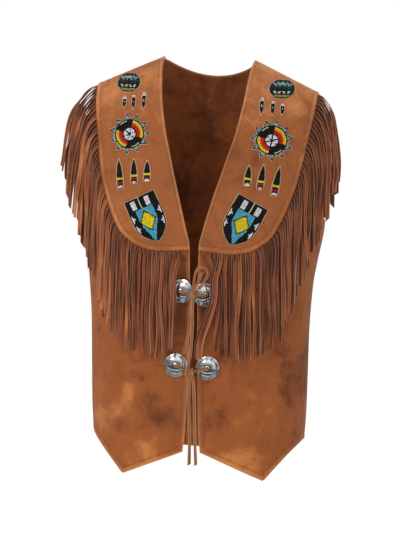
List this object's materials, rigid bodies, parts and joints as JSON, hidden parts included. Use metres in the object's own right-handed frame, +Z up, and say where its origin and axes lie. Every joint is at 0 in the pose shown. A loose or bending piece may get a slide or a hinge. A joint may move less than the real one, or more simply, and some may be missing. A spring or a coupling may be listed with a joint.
{
  "type": "fringed leather vest",
  "caption": "Open-front suede vest in its worn hollow form, with fringed yokes, beaded patches and domed conchos tied by laces.",
  "frame": {"origin": "midway between the two neck points, on the shoulder line, where the wearer's shoulders hold the vest", "axes": "+Z up, the front faces -Y, +X is towards the wearer's left"},
  "size_m": [0.4503, 0.2666, 0.6737],
  "materials": {
    "suede_body": "napped suede, mottled tan",
    "suede_yoke": "smooth suede, tan",
    "suede_fringe": "suede cut into strands, reddish tan",
    "suede_lace": "narrow suede lace",
    "beadwork": "glass seed beads, many colours",
    "concho_metal": "polished silver-coloured dome"
  },
  "bodies": {
    "root": {"back": "suede_body", "front_right": "suede_body", "yoke_right": "suede_yoke", "fringe_right": "suede_fringe", "emblem_right": "beadwork", "rosette_right": "beadwork", "shield_right": "beadwork", "drop_right_1": "beadwork", "claw_right_1": "beadwork", "drop_right_2": "beadwork", "claw_right_2": "beadwork", "drop_right_3": "beadwork", "claw_right_3": "beadwork", "front_left": "suede_body", "yoke_left": "suede_yoke", "fringe_left": "suede_fringe", "emblem_left": "beadwork", "rosette_left": "beadwork", "shield_left": "beadwork", "drop_left_1": "beadwork", "claw_left_1": "beadwork", "drop_left_2": "beadwork", "claw_left_2": "beadwork", "drop_left_3": "beadwork", "claw_left_3": "beadwork", "concho_upper_right": "concho_metal", "concho_upper_left": "concho_metal", "concho_lower_right": "concho_metal", "concho_lower_left": "concho_metal", "lace_upper": "suede_lace", "lace_lower": "suede_lace", "lace_upper_tail_right": "suede_lace", "lace_upper_tail_left": "suede_lace", "lace_lower_tail_right": "suede_lace", "lace_lower_tail_left": "suede_lace"}
  },
  "joints": []
}
